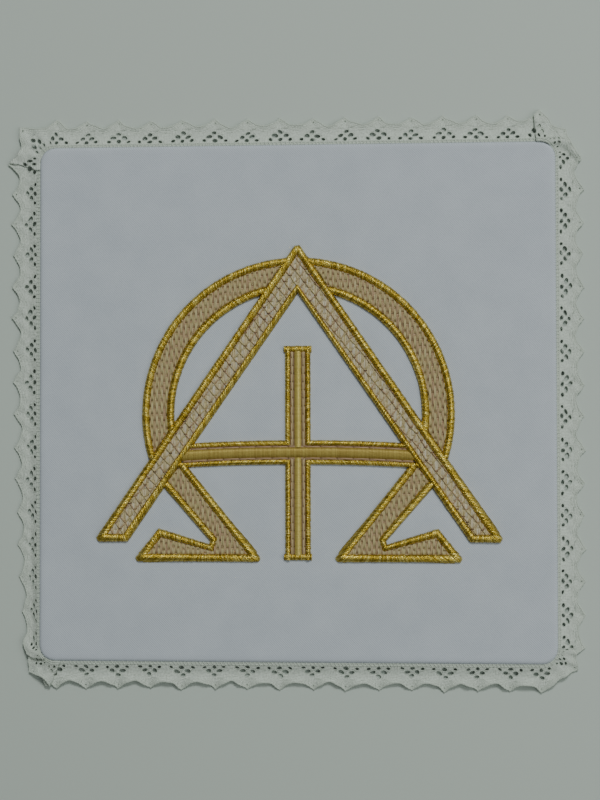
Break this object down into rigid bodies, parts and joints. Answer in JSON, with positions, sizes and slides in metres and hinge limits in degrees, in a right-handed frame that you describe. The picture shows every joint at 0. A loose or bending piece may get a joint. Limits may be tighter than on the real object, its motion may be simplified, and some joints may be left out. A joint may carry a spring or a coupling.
{
  "type": "chalice pall",
  "caption": "Stiff square of white cloth that covers a chalice, edged with cotton lace and embroidered in gold thread with a chevron, a horseshoe and a cross.",
  "frame": {"origin": "centre of the panel's back face, which rests on the surface", "axes": "+Z out of the embroidered face, +Y towards the top of the embroidery, +X to its right"},
  "size_m": [0.1791, 0.1788, 0.0045],
  "materials": {
    "panel_cloth": "fine white twill",
    "lace_cotton": "matte white cotton lace",
    "gold_cord": "glittering metallic gold thread in satin stitch",
    "gold_satin": "smooth gold thread in satin stitch",
    "tan_thread": "silky tan thread in open fill stitches"
  },
  "bodies": {
    "root": {"panel": "panel_cloth", "lace_edging": "lace_cotton", "chevron_cord": "gold_cord", "horseshoe_ring_outer_cord_left": "gold_cord", "horseshoe_ring_outer_cord_right": "gold_cord", "horseshoe_ring_inner_cord_left": "gold_cord", "horseshoe_ring_inner_cord_right": "gold_cord", "horseshoe_foot_cord_left": "gold_cord", "horseshoe_foot_cord_right": "gold_cord", "cross_cord_upper": "gold_cord", "cross_cord_lower": "gold_cord", "chevron_fill": "tan_thread", "horseshoe_ring_fill_left": "tan_thread", "horseshoe_ring_fill_right": "tan_thread", "horseshoe_foot_fill_left": "tan_thread", "horseshoe_foot_fill_right": "tan_thread", "cross_bar_satin": "gold_satin", "cross_post_satin_upper": "gold_satin", "cross_post_satin_lower": "gold_satin"}
  },
  "joints": []
}
